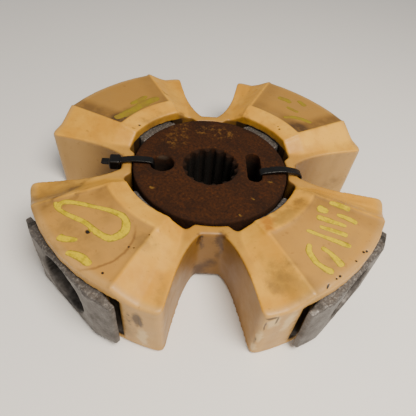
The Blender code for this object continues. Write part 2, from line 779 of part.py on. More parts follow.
hub_body = mesh_object("splined_hub", frozen(hub()))
hub_body.data.materials.append(RUSTED_STEEL)
shade(hub_body)

hole_chord = math.sqrt(FACE_HOLE_DIAMETER**2 - STRAP_WIDTH**2) / 2
hole_wall = FACE_HOLE_RADIUS + hole_chord - STRAP_GAP
slot_wall = FACE_SLOT_RADIUS + FACE_SLOT_WIDTH / 2 - STRAP_GAP - STRAP_WIDTH / 2 * math.sin(math.radians(SLOT_TIE_SLANT))
ties = [
    cable_tie("cable_tie_left", HOLE_SIDE, hole_wall, 0, 0, 0.9 * MM, 0.2 * MM, True),
    cable_tie("cable_tie_right", SLOT_SIDE, slot_wall, -SLOT_TIE_OFFSET, SLOT_TIE_SLANT, 2.6 * MM, 0.6 * MM, False),
]
for tie in ties:
    tie.data.materials.append(NYLON)
    shade(tie)
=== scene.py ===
"""The look of the pump coupling: a used moulded element with cast inserts on a rusted hub.

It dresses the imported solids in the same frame, in metres. The lobes lie on +X, +Y, -X and -Y,
and the photograph looks in over the gap between the lobes on +X and -Y.
"""

import math

import bmesh
import bpy
import numpy
from mathutils import Matrix, Vector, noise
from mathutils.bvhtree import BVHTree


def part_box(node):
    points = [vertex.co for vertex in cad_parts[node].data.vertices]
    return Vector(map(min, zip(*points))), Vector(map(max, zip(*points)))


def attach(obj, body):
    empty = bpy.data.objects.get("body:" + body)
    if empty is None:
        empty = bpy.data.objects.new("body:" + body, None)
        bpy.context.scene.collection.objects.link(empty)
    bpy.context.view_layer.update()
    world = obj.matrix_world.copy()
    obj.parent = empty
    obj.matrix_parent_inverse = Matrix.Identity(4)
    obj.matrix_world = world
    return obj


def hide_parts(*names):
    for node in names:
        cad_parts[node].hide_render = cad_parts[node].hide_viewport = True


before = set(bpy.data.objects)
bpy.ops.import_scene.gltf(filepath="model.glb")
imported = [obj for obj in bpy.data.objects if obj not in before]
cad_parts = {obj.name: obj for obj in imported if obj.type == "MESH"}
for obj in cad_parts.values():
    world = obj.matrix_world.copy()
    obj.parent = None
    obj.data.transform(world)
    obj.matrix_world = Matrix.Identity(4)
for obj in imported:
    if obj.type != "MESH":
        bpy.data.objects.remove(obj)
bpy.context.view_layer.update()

# Camera and room. The coupling stands on a pale bench in a white room, with one large soft
# lamp to the right above the viewer. The camera is placed from the middle of the screws'
# height, by its direction, its tilt and how far that middle lies from the picture's centre.

MM = 0.001
insert_low, insert_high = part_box("aluminium_insert_1")
bore_height = (insert_low[2] + insert_high[2]) / 2
VIEW_AZIMUTH, VIEW_ELEVATION, VIEW_ROLL = 40.003, 46.739, 6.159  # degrees
VIEW_DISTANCE, VIEW_RISE, VIEW_SIDE = 248.35 * MM, 11.67 * MM, 0.078 * MM
SENSOR_WIDTH, FOCAL_LENGTH = 36, 34.757  # mm, as a Blender lens takes them
BENCH_SIZE = 6
BENCH_GAP = 0.1 * MM  # so that the lobes' undersides and the bench are not one plane

lens = bpy.data.cameras.new("photo_lens")
lens.sensor_width = SENSOR_WIDTH
lens.lens = FOCAL_LENGTH
lens.clip_start = 10 * MM
camera = bpy.data.objects.new("photo_camera", lens)
bpy.context.scene.collection.objects.link(camera)
camera.matrix_world = (
    Matrix.Translation((0, 0, bore_height))
    @ Matrix.Rotation(math.radians(VIEW_AZIMUTH), 4, "Z")
    @ Matrix.Rotation(math.radians(90 - VIEW_ELEVATION), 4, "X")
    @ Matrix.Rotation(math.radians(VIEW_ROLL), 4, "Z")
    @ Matrix.Translation((-VIEW_SIDE, -VIEW_RISE, VIEW_DISTANCE))
)
bpy.context.scene.camera = camera


def linear(colour):
    """An sRGB hex colour as linear RGBA."""
    parts = [int(colour[i : i + 2], 16) / 255 for i in (1, 3, 5)]
    return (*[p / 12.92 if p <= 0.04045 else ((p + 0.055) / 1.055) ** 2.4 for p in parts], 1)


def new_material(name):
    """A node material, with its tree and its Principled surface."""
    made = bpy.data.materials.new(name)
    made.use_nodes = True
    return made, made.node_tree, made.node_tree.nodes["Principled BSDF"]


bench_paint, tree, surface = new_material("matt white bench paint")
surface.inputs["Base Color"].default_value = linear("#F1F0EE")
surface.inputs["Roughness"].default_value = 0.9
bpy.ops.mesh.primitive_plane_add(size=BENCH_SIZE, location=(0, 0, -BENCH_GAP))
bench = bpy.context.object
bench.name = "bench"
bench.data.materials.append(bench_paint)

room = bpy.data.worlds.new("white room")
room.use_nodes = True
room.node_tree.nodes["Background"].inputs["Color"].default_value = linear("#F7F6F4")
room.node_tree.nodes["Background"].inputs["Strength"].default_value = 0.33
bpy.context.scene.world = room


def soft_lamp(name, azimuth, elevation, distance, size, watts, colour):
    """A round lamp that faces the coupling from a direction in degrees, at a distance."""
    data = bpy.data.lights.new(name, "AREA")
    data.shape = "DISK"
    data.size = size
    data.energy = watts
    data.color = linear(colour)[:3]
    lamp = bpy.data.objects.new(name, data)
    bpy.context.scene.collection.objects.link(lamp)
    lamp.matrix_world = (
        Matrix.Translation((0, 0, bore_height))
        @ Matrix.Rotation(math.radians(azimuth), 4, "Z")
        @ Matrix.Rotation(math.radians(90 - elevation), 4, "X")
        @ Matrix.Translation((0, 0, distance))
    )


soft_lamp(
    "key_lamp", azimuth=VIEW_AZIMUTH + 38, elevation=60,
    distance=0.62, size=0.32, watts=5.9, colour="#FFF3E2",
)
soft_lamp(
    "window", azimuth=VIEW_AZIMUTH - 10, elevation=30,
    distance=1.1, size=0.5, watts=1.3, colour="#FFF6EA",
)

# Flexible element. One moulding of tan polyester elastomer: four lobes joined by a thin ring
# round the hub, each lobe moulded round the pocket for its insert. Its edges come rounded
# from the mould, and years in a drive have left it scuffed, pitted and grimy.

ELEMENT_CELL = 0.9 * MM  # edge of one cell of the new surface
ELEMENT_KEEPS = 0.6  # share of those faces that stays, to keep under 200,000
FLAT_BASE = 3 * MM  # below this height the lobes keep their flat undersides
SINK_DEPTH, SINK_WIDTH = 0.35 * MM, 26 * MM
LUMP_DEPTH, LUMP_WIDTH = 0.1 * MM, 5 * MM
PIT_DEPTH, CRACK_DEPTH = 0.9 * MM, 0.6 * MM
pad_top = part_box("flex_element")[1][2]


def rounded_copy(node, name, cell, smoothing, keeps=1.0):
    """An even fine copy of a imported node, with its edges rounded as a mould or wear leaves them."""
    copy = bpy.data.objects.new(name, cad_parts[node].data.copy())
    bpy.context.scene.collection.objects.link(copy)
    copy.data.materials.clear()
    remesh = copy.modifiers.new("even cells", "REMESH")
    remesh.mode = "VOXEL"
    remesh.voxel_size = cell
    soften = copy.modifiers.new("round edges", "SMOOTH")
    soften.factor = 0.5
    soften.iterations = smoothing
    if keeps < 1:
        copy.modifiers.new("thin out", "DECIMATE").ratio = keeps
    graph = bpy.context.evaluated_depsgraph_get()
    mesh = bpy.data.meshes.new_from_object(copy.evaluated_get(graph))
    copy.modifiers.clear()
    copy.data = mesh
    mesh.shade_smooth()
    return copy


def sink_surface(piece, depth_at):
    """Moves the surface inwards by a depth that depends on the place and the normal."""
    mesh = piece.data
    count = len(mesh.vertices)
    points, normals = numpy.empty(count * 3), numpy.empty(count * 3)
    mesh.vertices.foreach_get("co", points)
    mesh.vertex_normals.foreach_get("vector", normals)
    points, normals = points.reshape(-1, 3), normals.reshape(-1, 3)
    points -= normals * depth_at(points, normals)[:, None]
    mesh.vertices.foreach_set("co", points.ravel())
    mesh.update()


def press_in(piece, depth, width, seed, above=-math.inf, facing_up=-math.inf):
    """Hollows of smooth noise, at most this deep and about this wide.

    They lie only above a height and where the normal's upward part is at least facing_up.
    """

    def depth_at(points, normals):
        # each seed reads the noise at a place of its own
        shift = Vector((seed * 3.1, seed * 7.7, seed * 1.3))
        level = numpy.array([noise.noise(Vector(p) / width + shift) for p in points])
        level = numpy.clip(0.5 - 0.5 * level, 0, 1)
        level[(points[:, 2] < above) | (normals[:, 2] < facing_up)] = 0
        return level * depth

    sink_surface(piece, depth_at)


def dent(piece, marks, depth):
    """Small dents. Each mark is a place in mm, its half sizes in mm, and its turn about Z."""

    def depth_at(points, normals):
        deepest = numpy.zeros(len(points))
        for x, y, z, half_x, half_y, half_z, turn in marks:
            from_mark = points / MM - (x, y, z)
            cos, sin = math.cos(math.radians(turn)), math.sin(math.radians(turn))
            u = (from_mark[:, 0] * cos + from_mark[:, 1] * sin) / half_x
            v = (from_mark[:, 1] * cos - from_mark[:, 0] * sin) / half_y
            w = from_mark[:, 2] / half_z
            deepest = numpy.maximum(deepest, numpy.clip(1 - u * u - v * v - w * w, 0, 1))
        return deepest * depth

    sink_surface(piece, depth_at)


# Pits that air and grit left, and fine cracks at the front lobes' corners, as dent takes them.
element_pits = (
    (-0.1, -82.6, 47, 1.7, 1.5, 3, 0),
    (19.4, -74.1, 47, 0.8, 0.7, 3, 0),
    (21.4, -72.7, 47, 0.6, 0.6, 3, 0),
    (23.3, -91.0, 47, 0.9, 0.8, 3, 0),
    (20.6, -63.0, 47, 0.5, 0.5, 3, 0),
    (95.8, 5.3, 46, 0.9, 0.7, 3, 0),
    (96.6, 6.9, 46, 0.8, 0.8, 3, 0),
    (96.1, -2.3, 46, 0.8, 0.7, 3, 0),
    (95.3, -15.1, 46, 0.8, 1.0, 3, 0),
    (95.0, -17.5, 46, 0.6, 0.6, 3, 0),
    (94.4, -23.6, 46, 0.6, 1.9, 3, 15),
    (-51.1, -11.0, 46, 1.1, 1.0, 3, 0),
    (8.4, 53.5, 46, 0.9, 0.7, 3, 0),
    (6.2, 54.8, 46, 0.6, 0.6, 3, 0),
    (33.1, -40.1, 37.3, 1.2, 1.2, 1.2, 0),
)
element_cracks = (
    (85.9, -49.7, 38.2, 0.6, 3.4, 1.2, -30),
    (87.4, -47.4, 35.5, 0.6, 0.8, 4.5, -30),
    (84.6, -51, 31, 0.6, 0.7, 5, -30),
    (83.2, -52.4, 14, 0.6, 0.7, 6, -30),
    (42.9, -89.2, 28, 0.8, 1.6, 9, 20),
    (39.6, -91, 24, 0.6, 0.8, 12, 20),
)
element = rounded_copy("flex_element", "moulded_element", ELEMENT_CELL, 2, ELEMENT_KEEPS)
press_in(element, SINK_DEPTH, SINK_WIDTH, seed=1, above=FLAT_BASE)
press_in(element, LUMP_DEPTH, LUMP_WIDTH, seed=2, above=FLAT_BASE)
dent(element, element_pits, PIT_DEPTH)
dent(element, element_cracks, CRACK_DEPTH)


def add(tree, kind, inputs=(), output=0, **settings):
    """Adds a node with its settings. Each input takes a value or the output of another node."""
    node = tree.nodes.new(f"ShaderNode{kind}")
    for name, value in settings.items():
        setattr(node, name, value)
    for key, value in inputs.items() if isinstance(inputs, dict) else enumerate(inputs):
        if isinstance(value, bpy.types.NodeSocket):
            tree.links.new(value, node.inputs[key])
        else:
            node.inputs[key].default_value = value
    return node.outputs[output]


def layered(tree, colour, layers):
    """A colour with others laid over it in turn, each by its own share."""
    # a Mix node has its share at 0, its colours at 6 and 7, and the mixed colour at output 2
    for share, over in layers:
        colour = add(tree, "Mix", {0: share, 6: colour, 7: linear(over)}, 2, data_type="RGBA")
    return colour


def spots(tree, place, marks):
    """Soft round or long spots, 1 in the middle and 0 outside, at marks like those of dent."""
    total = 0.0
    for x, y, z, half_x, half_y, half_z, turn in marks:
        at_mark = add(tree, "Mapping", {
            "Vector": place,
            "Location": (x * MM, y * MM, z * MM),
            "Rotation": (0, 0, math.radians(turn)),
            "Scale": (half_x * MM, half_y * MM, half_z * MM),
        }, vector_type="TEXTURE")
        spot = add(tree, "TexGradient", [at_mark], 1, gradient_type="SPHERICAL")
        total = add(tree, "Math", [total, spot], operation="MAXIMUM")
    return total


# Polyester elastomer, moulded: a dense waxy tan plastic, matt where it is dusty and a little
# shiny where hands and oil have rubbed it. The eye sees a clean yellow tan on the flanks, a
# pinker tan on the worn pads, brown oil and grime in the pads' corners, and dusty walls in the
# gaps, painted a duller tan for the shade they stand in and a painted brown shade at their floors.
PAD_SIDE = math.radians(18.6)  # angle of a pad's side from the lobe's middle line
PAD_INNER = 61 * MM  # radius where a pad starts
WALLS_TOP = 39.8 * MM  # height where a lobe's upright walls end
WALL_END = 98 * MM  # radius where a gap's wall turns into the lobe's outer face
GAP_MOUTH, GAP_FLOOR = 84 * MM, 56 * MM  # radii between which the painted shade on a gap's walls grows darker
POCKET_SIDE = math.radians(24)  # angle of a pocket's side from the lobe's middle line
POCKET_MOUTH, POCKET_BASE = 96.8 * MM, 2 * MM  # a radius and a height
HUB_OPENING = 50 * MM  # radius of the opening that the hub sits in
WASHER_PLACE, WASHER_RADIUS = 82 * MM, 21.3 * MM  # how far out along a lobe, and its own radius
CRACK_REACH = 2.4  # mm by which a crack's painted shade goes deeper into the wall than its dent

elastomer, tree, surface = new_material("moulded tan polyester elastomer")
place = add(tree, "TexCoord", output="Object")
x, y, z = [add(tree, "SeparateXYZ", [place], axis) for axis in range(3)]
fine = add(tree, "TexNoise", {"Vector": place, "Scale": 1 / (2.5 * MM), "Detail": 4})
middling = add(tree, "TexNoise", {
    "Vector": place, "Scale": 1 / (8 * MM), "Detail": 5, "Roughness": 0.6,
})
wide = add(tree, "TexNoise", {
    "Vector": place, "Scale": 1 / (26 * MM), "Detail": 4, "Roughness": 0.6,
})

# Places shaken by noise, so that what is drawn at them gets ragged or swirled edges.
MIDDLE = (0.5, 0.5, 0.5)  # what a noise's colour comes to on average
shaken = add(tree, "TexNoise", {"Vector": place, "Scale": 1 / (4 * MM), "Detail": 3}, output=1)
shaken = add(tree, "VectorMath", [shaken, MIDDLE], operation="SUBTRACT")
ragged = add(tree, "VectorMath", [shaken, [6 * MM] * 3, place], operation="MULTIPLY_ADD")
uneven = add(
    tree, "VectorMath", [shaken, (2 * MM, 2 * MM, 1 * MM), place], operation="MULTIPLY_ADD"
)
swirled = add(tree, "TexNoise", {
    "Vector": place, "Scale": 1 / (16 * MM), "Detail": 5, "Roughness": 0.65,
}, output=1)
swirled = add(tree, "VectorMath", [swirled, MIDDLE], operation="SUBTRACT")
swirled = add(tree, "VectorMath", [swirled, [22 * MM] * 3, place], operation="MULTIPLY_ADD")
hung = add(tree, "Mapping", {"Vector": place, "Scale": (1, 1, 0.12)})
runs = add(tree, "TexNoise", {"Vector": hung, "Scale": 1 / (9 * MM), "Detail": 4})

# One lobe's own lines, the same on all four: along it, across it, and the angle from its middle.
east = add(tree, "Math", [x], operation="ABSOLUTE")
north = add(tree, "Math", [y], operation="ABSOLUTE")
along = add(tree, "Math", [east, north], operation="MAXIMUM")
across = add(tree, "Math", [east, north], operation="MINIMUM")
in_plan = add(tree, "CombineXYZ", [along, across])
radius = add(tree, "VectorMath", [in_plan], 1, operation="LENGTH")
angle = add(tree, "Math", [across, along], operation="ARCTAN2")
to_side = add(tree, "Math", [PAD_SIDE, angle], operation="SUBTRACT")
inside_side = add(tree, "Math", [radius, to_side], operation="MULTIPLY")
inside_band = add(tree, "Math", [radius, PAD_INNER], operation="SUBTRACT")

# Shares from 0 to 1 of where each finish lies. A MapRange takes a value, the two ends it runs
# between, and the two ends it is mapped to.
top_share = add(tree, "MapRange", [z, pad_top - 2.6 * MM, pad_top - 1.7 * MM])
side_share = add(tree, "MapRange", [inside_side, -0.2 * MM, 1 * MM])
band_share = add(tree, "MapRange", [inside_band, -0.4 * MM, 1 * MM])
on_pad = add(tree, "Math", [side_share, band_share], operation="MULTIPLY")
on_pad = add(tree, "Math", [on_pad, top_share], operation="MULTIPLY")

# x times y is above 0 beside the left and right gaps, and y less x beside the back one.
side_gap = add(tree, "Math", [x, y], operation="MULTIPLY")
side_gap = add(tree, "MapRange", [side_gap, -3e-4, 6e-4, 0.3, 1], interpolation_type="SMOOTHSTEP")
rear = add(tree, "Math", [y, x], operation="SUBTRACT")
back_lobe = add(tree, "MapRange", [rear, 0, 60 * MM], interpolation_type="SMOOTHSTEP")
front_gap = add(tree, "MapRange", [rear, -55 * MM, -80 * MM], interpolation_type="SMOOTHSTEP")
below_top = add(tree, "MapRange", [z, WALLS_TOP + 0.5 * MM, WALLS_TOP - 1 * MM])
inside_rim = add(
    tree, "MapRange", [radius, WALL_END, WALL_END - 5 * MM], interpolation_type="SMOOTHSTEP"
)
on_wall = add(tree, "Math", [below_top, inside_rim], operation="MULTIPLY")
to_floor = add(tree, "MapRange", [radius, GAP_MOUTH, GAP_FLOOR], interpolation_type="SMOOTHSTEP")
# Painted shade, with some grime, inside the inserts' pockets, where the plates cover them.
pocket_shade_and_grime = add(tree, "MapRange", [angle, POCKET_SIDE + 0.01, POCKET_SIDE - 0.01])
pocket_roof = add(tree, "MapRange", [z, WALLS_TOP + 0.2 * MM, WALLS_TOP - 0.4 * MM])
pocket_floor = add(tree, "MapRange", [z, POCKET_BASE, POCKET_BASE + 0.6 * MM])
pocket_shade_and_grime = add(tree, "Math", [pocket_shade_and_grime, pocket_roof], operation="MULTIPLY")
pocket_shade_and_grime = add(tree, "Math", [pocket_shade_and_grime, pocket_floor], operation="MULTIPLY")
behind_mouth = add(tree, "MapRange", [radius, POCKET_MOUTH + 0.8 * MM, POCKET_MOUTH])
pocket_shade_and_grime = add(tree, "Math", [pocket_shade_and_grime, behind_mouth], operation="MULTIPLY")

# Painted shade on what stands upright round the hub, not on the top of the ring.
facing = add(tree, "NewGeometry", output="Normal")
upright = add(tree, "SeparateXYZ", [facing], 2)
upright = add(tree, "MapRange", [upright, 0.75, 0.4])
opening_shade = add(tree, "MapRange", [radius, HUB_OPENING + 0.6 * MM, HUB_OPENING, 0, 0.45])
opening_shade = add(tree, "Math", [opening_shade, upright], operation="MULTIPLY")

# Grime, caked where it gathers: along the pads' sides that line the left and right gaps, and
# along the pads' inner ends, worst on the two back lobes.
side_grime = add(tree, "MapRange", [inside_side, 13 * MM, 5 * MM], interpolation_type="SMOOTHSTEP")
side_grime = add(tree, "Math", [side_grime, side_gap], operation="MULTIPLY")
band_grime = add(tree, "MapRange", [inside_band, 12 * MM, 5 * MM], interpolation_type="SMOOTHSTEP")
band_grime = add(tree, "Math", [band_grime, side_gap], operation="MULTIPLY")
grime = add(tree, "Math", [side_grime, band_grime], operation="ADD")
grime_breaks = add(tree, "MapRange", [middling, 0.3, 0.52, 0.6, 1.05])
grime = add(tree, "Math", [grime, grime_breaks], operation="MULTIPLY")
grime = add(tree, "Math", [grime, on_pad], operation="MULTIPLY")
grime_on_lobe = add(tree, "MapRange", [back_lobe, 0, 1, 0.22, 0.64])
grime = add(tree, "Math", [grime, grime_on_lobe], operation="MULTIPLY", use_clamp=True)

# Small dark smudges of oil, and painted shade with grime in the tall slots beside the front plates'
# wing ends.
smudges_and_slot_shade = spots(tree, ragged, (
    (-19.4, -60.5, 47, 2.0, 5.5, 5, 0),
    (-23, -74, 47, 2.2, 13, 6, 12),
    (-28, -84, 46, 2.5, 10, 6, 15),
    (57.2, 7.5, 47, 7, 9, 6, 0),
    (-20, 46.7, 42, 5, 4, 6, 0),
    (-14, 47.5, 44, 4, 3, 4, 0),
    (-45.5, 20, 41, 4, 5, 6, 0),
    (-68, 24.4, 46.6, 5, 1.6, 5, 0),
    (-50.8, -15.8, 46, 1.6, 1.2, 4, 0),
    (36.3, -92.4, 19, 2.2, 2.2, 21, 0),
    (92.6, -36.2, 19, 2, 2, 20, 0),
    (-33, -68, 42, 2.5, 16, 6, 18),
))
smudges_and_slot_shade = add(tree, "MapRange", [smudges_and_slot_shade, 0, 0.7, 0, 0.65], interpolation_type="SMOOTHSTEP")
smudge_breaks = add(tree, "MapRange", [middling, 0.38, 0.58, 0.4, 1])
smudges_and_slot_shade = add(tree, "Math", [smudges_and_slot_shade, smudge_breaks], operation="MULTIPLY")

# Wide faint clouds of dirt from handling.
clouds = spots(tree, swirled, (
    (-34, -78, 44, 14, 26, 12, 14),
    (20.5, -67, 47, 8, 9, 9, 0),
    (44.5, -77, 41, 6, 15, 9, 28),
    (66, 24, 44, 24, 7, 12, 16),
    (73, -29, 45, 15, 8, 12, 12),
    (78, -38, 42, 9, 7, 10, 14),
    (-49.9, 0, 44.6, 5, 14, 6, 0),
    (47, 74, 14, 12, 12, 9, 0),
    (88, -12, 46, 9, 9, 9, 0),
    (-6, -72, 47, 10, 9, 9, 0),
    (0, -89, 47, 24, 10, 9, 0),
    (55, -4, 45, 6, 15, 8, 0),
    (40, -92, 20, 6, 4, 14, 0),
    (-88, -46, 24, 5, 5, 18, 0),
))
clouds = add(tree, "MapRange", [clouds, 0, 0.7, 0, 0.55], interpolation_type="SMOOTHSTEP")
cloud_breaks = add(tree, "MapRange", [middling, 0.38, 0.6, 0.15, 1])
clouds = add(tree, "Math", [clouds, cloud_breaks], operation="MULTIPLY")

# Black smears low in the front gap with a painted shadow up its right corner, and a brown haze over
# the front lobes' flanks.
gap_smears_and_shadow = spots(tree, swirled, (
    (33.2, -38.8, 6, 6, 6, 15, 0),
    (39.8, -33.4, 33, 4, 4, 16, 0),
    (32.4, -41, 34, 2.5, 2.5, 9, 0),
    (35.5, -36.5, 15, 6, 6, 9, 0),
))
gap_smears_and_shadow = add(tree, "MapRange", [gap_smears_and_shadow, 0, 0.7, 0, 0.8], interpolation_type="SMOOTHSTEP")
haze = spots(tree, swirled, (
    (-37, -76, 42, 15, 34, 12, 14),
    (79, -33, 44, 20, 10, 10, 14),
    (57, -4, 46, 9, 12, 8, 0),
))
haze = add(tree, "MapRange", [haze, 0, 0.6, 0, 0.42], interpolation_type="SMOOTHSTEP")

# A rust stain beside the hub, painted highlights up the front corners, and a pool of light painted on
# a back lobe's flank.
ochre = spots(tree, ragged, ((52, -14, 46, 5.5, 6.5, 7, 0), (56, -17, 46.5, 5, 3, 6, 0)))
ochre = add(tree, "MapRange", [ochre, 0.05, 0.6, 0, 0.75])
corner_highlights = spots(tree, ragged, (
    (87, -48.3, 34, 4, 4, 7, 0),
    (84, -51.4, 20, 3, 3, 8, 0),
    (82.6, -52.6, 7, 4, 4, 6, 0),
    (90.6, -41, 30, 4, 4, 12, 0),
    (44.4, -88.4, 12, 4, 4, 12, 0),
))
corner_highlights = add(tree, "MapRange", [corner_highlights, 0.1, 0.5, 0, 0.6])
# Painted light, brighter on the flank of the back lobe on +Y that faces the right gap.
flank_light_pool = spots(tree, swirled, ((33, 76, 42, 12, 24, 12, -16), (24, 62, 44, 8, 12, 9, 0)))
flank_light_pool = add(tree, "MapRange", [flank_light_pool, 0, 0.6, 0, 0.6], interpolation_type="SMOOTHSTEP")

# Parts of a thin brown ring where a washer once sat, left on the front lobes' pads.
ragged_plan = add(
    tree, "VectorMath", [shaken, (2 * MM, 2 * MM, 0), in_plan], operation="MULTIPLY_ADD"
)
to_ring = add(tree, "VectorMath", [ragged_plan, (WASHER_PLACE, 0, 0)], 1, operation="DISTANCE")
to_ring = add(tree, "Math", [to_ring, WASHER_RADIUS], operation="SUBTRACT")
to_ring = add(tree, "Math", [to_ring], operation="ABSOLUTE")
ring = add(tree, "MapRange", [to_ring, 1.1 * MM, 0.1 * MM, 0, 0.7], interpolation_type="SMOOTHSTEP")
ring_part = spots(tree, swirled, ((21, -80, 47, 16, 30, 15, 0), (57, -4, 47, 6, 14, 15, 0)))
ring_part = add(tree, "MapRange", [ring_part, 0.1, 0.5])
ring = add(tree, "Math", [ring, ring_part], operation="MULTIPLY")
ring = add(tree, "Math", [ring, on_pad], operation="MULTIPLY")

# Painted shade, near black, in the pits and along the cracks, with the grit in them.
pits = spots(tree, place, element_pits)
pits = add(tree, "MapRange", [pits, 0.05, 0.4])
crack_shades = [(*crack[:3], crack[3] + CRACK_REACH, *crack[4:]) for crack in element_cracks]
cracks = spots(tree, uneven, crack_shades)
cracks = add(tree, "MapRange", [cracks, 0.02, 0.4, 0, 0.8])

wide_share = add(tree, "MapRange", [wide, 0.38, 0.62])
stain_share = add(tree, "MapRange", [middling, 0.5, 0.7, 0, 0.4])
pad_share = add(tree, "Math", [on_pad, 0.8], operation="MULTIPLY")
back_pad = add(tree, "Math", [on_pad, back_lobe], operation="MULTIPLY")
back_pad = add(tree, "Math", [back_pad, 0.45], operation="MULTIPLY")
blotches = add(tree, "MapRange", [wide, 0.5, 0.66, 0, 0.45])
blotches = add(tree, "Math", [blotches, on_pad], operation="MULTIPLY")
# Dust on the walls, and a duller tan painted on them for the shade they stand in.
wall_dust_and_shade = add(tree, "Math", [below_top, 0.62], operation="MULTIPLY")
side_dust = add(tree, "MapRange", [side_gap, 0.4, 1, 0, 0.45])
side_dust = add(tree, "Math", [side_dust, below_top], operation="MULTIPLY")
rim_wear = add(
    tree, "MapRange", [radius, WALL_END - 4 * MM, WALL_END - 0.5 * MM, 0, 0.55],
    interpolation_type="SMOOTHSTEP",
)
run_share = add(tree, "MapRange", [runs, 0.48, 0.68, 0, 0.3])
run_share = add(tree, "Math", [run_share, below_top], operation="MULTIPLY")
# Painted shade, darker deeper into the gaps towards their floors.
gap_floor_shade = add(tree, "Math", [to_floor, on_wall], operation="MULTIPLY")
gap_floor_shade = add(tree, "Math", [gap_floor_shade, 0.8], operation="MULTIPLY")
# Painted shade, darker on the walls of the front gap.
front_gap_shade = add(tree, "Math", [front_gap, on_wall], operation="MULTIPLY")
front_gap_shade = add(tree, "Math", [front_gap_shade, 0.5], operation="MULTIPLY")
speck_share = add(tree, "MapRange", [fine, 0.64, 0.74, 0, 0.4])
colour = layered(tree, linear("#C98E22"), (
    (wide_share, "#DAA336"),
    (stain_share, "#AE761E"),
    (pad_share, "#AC7E3A"),
    (back_pad, "#8A6526"),
    (blotches, "#97713A"),
    (wall_dust_and_shade, "#AC8443"),
    (side_dust, "#A78B5E"),
    (rim_wear, "#B8935A"),
    (run_share, "#86632F"),
    (front_gap_shade, "#6E4A0C"),
    (gap_floor_shade, "#74501A"),
    (flank_light_pool, "#EBB43C"),
    (corner_highlights, "#D8BE8C"),
    (haze, "#705628"),
    (clouds, "#75592C"),
    (grime, "#4C3517"),
    (smudges_and_slot_shade, "#5E4420"),
    (ring, "#6E4A22"),
    (ochre, "#A2620C"),
    (gap_smears_and_shadow, "#381E02"),
    (pocket_shade_and_grime, "#1E150C"),
    (opening_shade, "#3C2810"),
    (speck_share, "#775022"),
    (cracks, "#2C1A0D"),
    (pits, "#170D07"),
))
tree.links.new(colour, surface.inputs["Base Color"])
shine = add(tree, "MapRange", [middling, 0.3, 0.7, 0.4, 0.56])
tree.links.new(shine, surface.inputs["Roughness"])
surface.inputs["IOR"].default_value = 1.52
grain = add(tree, "Math", [middling, fine], operation="ADD")
relief = add(tree, "Bump", {"Height": grain, "Distance": 0.15 * MM, "Strength": 0.4})
tree.links.new(relief, surface.inputs["Normal"])

element.data.materials.append(elastomer)
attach(element, "root")
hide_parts("flex_element")

# Inserts. Four aluminium sand castings, each a block with a wide outer plate, pressed into a
# lobe's pocket. The skin keeps the grain of the sand. The plate's face is rubbed smoother by
# the flange it fits in, and the bore for the screw is machined and dirty inside.

INSERT_CELL = 0.85 * MM
SAND_DEPTH, SAND_WIDTH = 0.2 * MM, 1.6 * MM
CRUST_DEPTH, CRUST_WIDTH = 0.55 * MM, 2.6 * MM
FLOW_DEPTH, FLOW_WIDTH = 0.5 * MM, 9 * MM
SCREW_BORE_RADIUS = 16 * MM
OIL_START = 50 * MM  # how far out along the bore its oil starts
insert_top = insert_high[2]
plate_face = insert_high[0]

# Cast aluminium, long used: dull warm grey and rough, with darker dirt in its hollows and pale
# crumbs of oxide on the plate's top edge. The screw's bore is brown-black with old oil, in
# streaks along it. The sand's real grain, under 0.5 mm, is too fine to show, so it is drawn at
# 1 to 1.5 mm.
casting, tree, surface = new_material("sand-cast aluminium with a worn skin")
place = add(tree, "TexCoord", output="Object")
x, y, z = [add(tree, "SeparateXYZ", [place], axis) for axis in range(3)]
east = add(tree, "Math", [x], operation="ABSOLUTE")
north = add(tree, "Math", [y], operation="ABSOLUTE")
along = add(tree, "Math", [east, north], operation="MAXIMUM")
across = add(tree, "Math", [east, north], operation="MINIMUM")
above = add(tree, "Math", [z, bore_height], operation="SUBTRACT")
on_plate = add(tree, "CombineXYZ", [across, above])
from_bore = add(tree, "VectorMath", [on_plate], 1, operation="LENGTH")
sand = add(tree, "TexNoise", {
    "Vector": place, "Scale": 1 / (1.5 * MM), "Detail": 5, "Roughness": 0.7,
})
crumbs = add(tree, "TexNoise", {
    "Vector": place, "Scale": 1 / (1.1 * MM), "Detail": 3, "Roughness": 0.6,
})
patches = add(tree, "TexNoise", {"Vector": place, "Scale": 1 / (10 * MM), "Detail": 4})
down_bore = add(tree, "CombineXYZ", [across, above, along])
down_bore = add(tree, "Mapping", {"Vector": down_bore, "Scale": (1, 1, 0.08)})
streaks = add(tree, "TexNoise", {"Vector": down_bore, "Scale": 1 / (2 * MM), "Detail": 3})

sand_share = add(tree, "MapRange", [sand, 0.3, 0.7])
patch_share = add(tree, "MapRange", [patches, 0.48, 0.68, 0, 0.6])
on_top = add(tree, "MapRange", [z, insert_top - 4 * MM, insert_top - 0.5 * MM])
crumb_share = add(tree, "MapRange", [crumbs, 0.52, 0.62])
crumb_share = add(tree, "Math", [crumb_share, on_top], operation="MULTIPLY")
crumb_share = add(tree, "Math", [crumb_share, 0.6], operation="MULTIPLY")
in_bore = add(tree, "MapRange", [
    from_bore, SCREW_BORE_RADIUS + 0.7 * MM, SCREW_BORE_RADIUS + 0.1 * MM,
])
past_start = add(tree, "MapRange", [along, OIL_START, OIL_START + 4 * MM])
in_bore = add(tree, "Math", [in_bore, past_start], operation="MULTIPLY")
bore_share = add(tree, "Math", [in_bore, 0.88], operation="MULTIPLY")
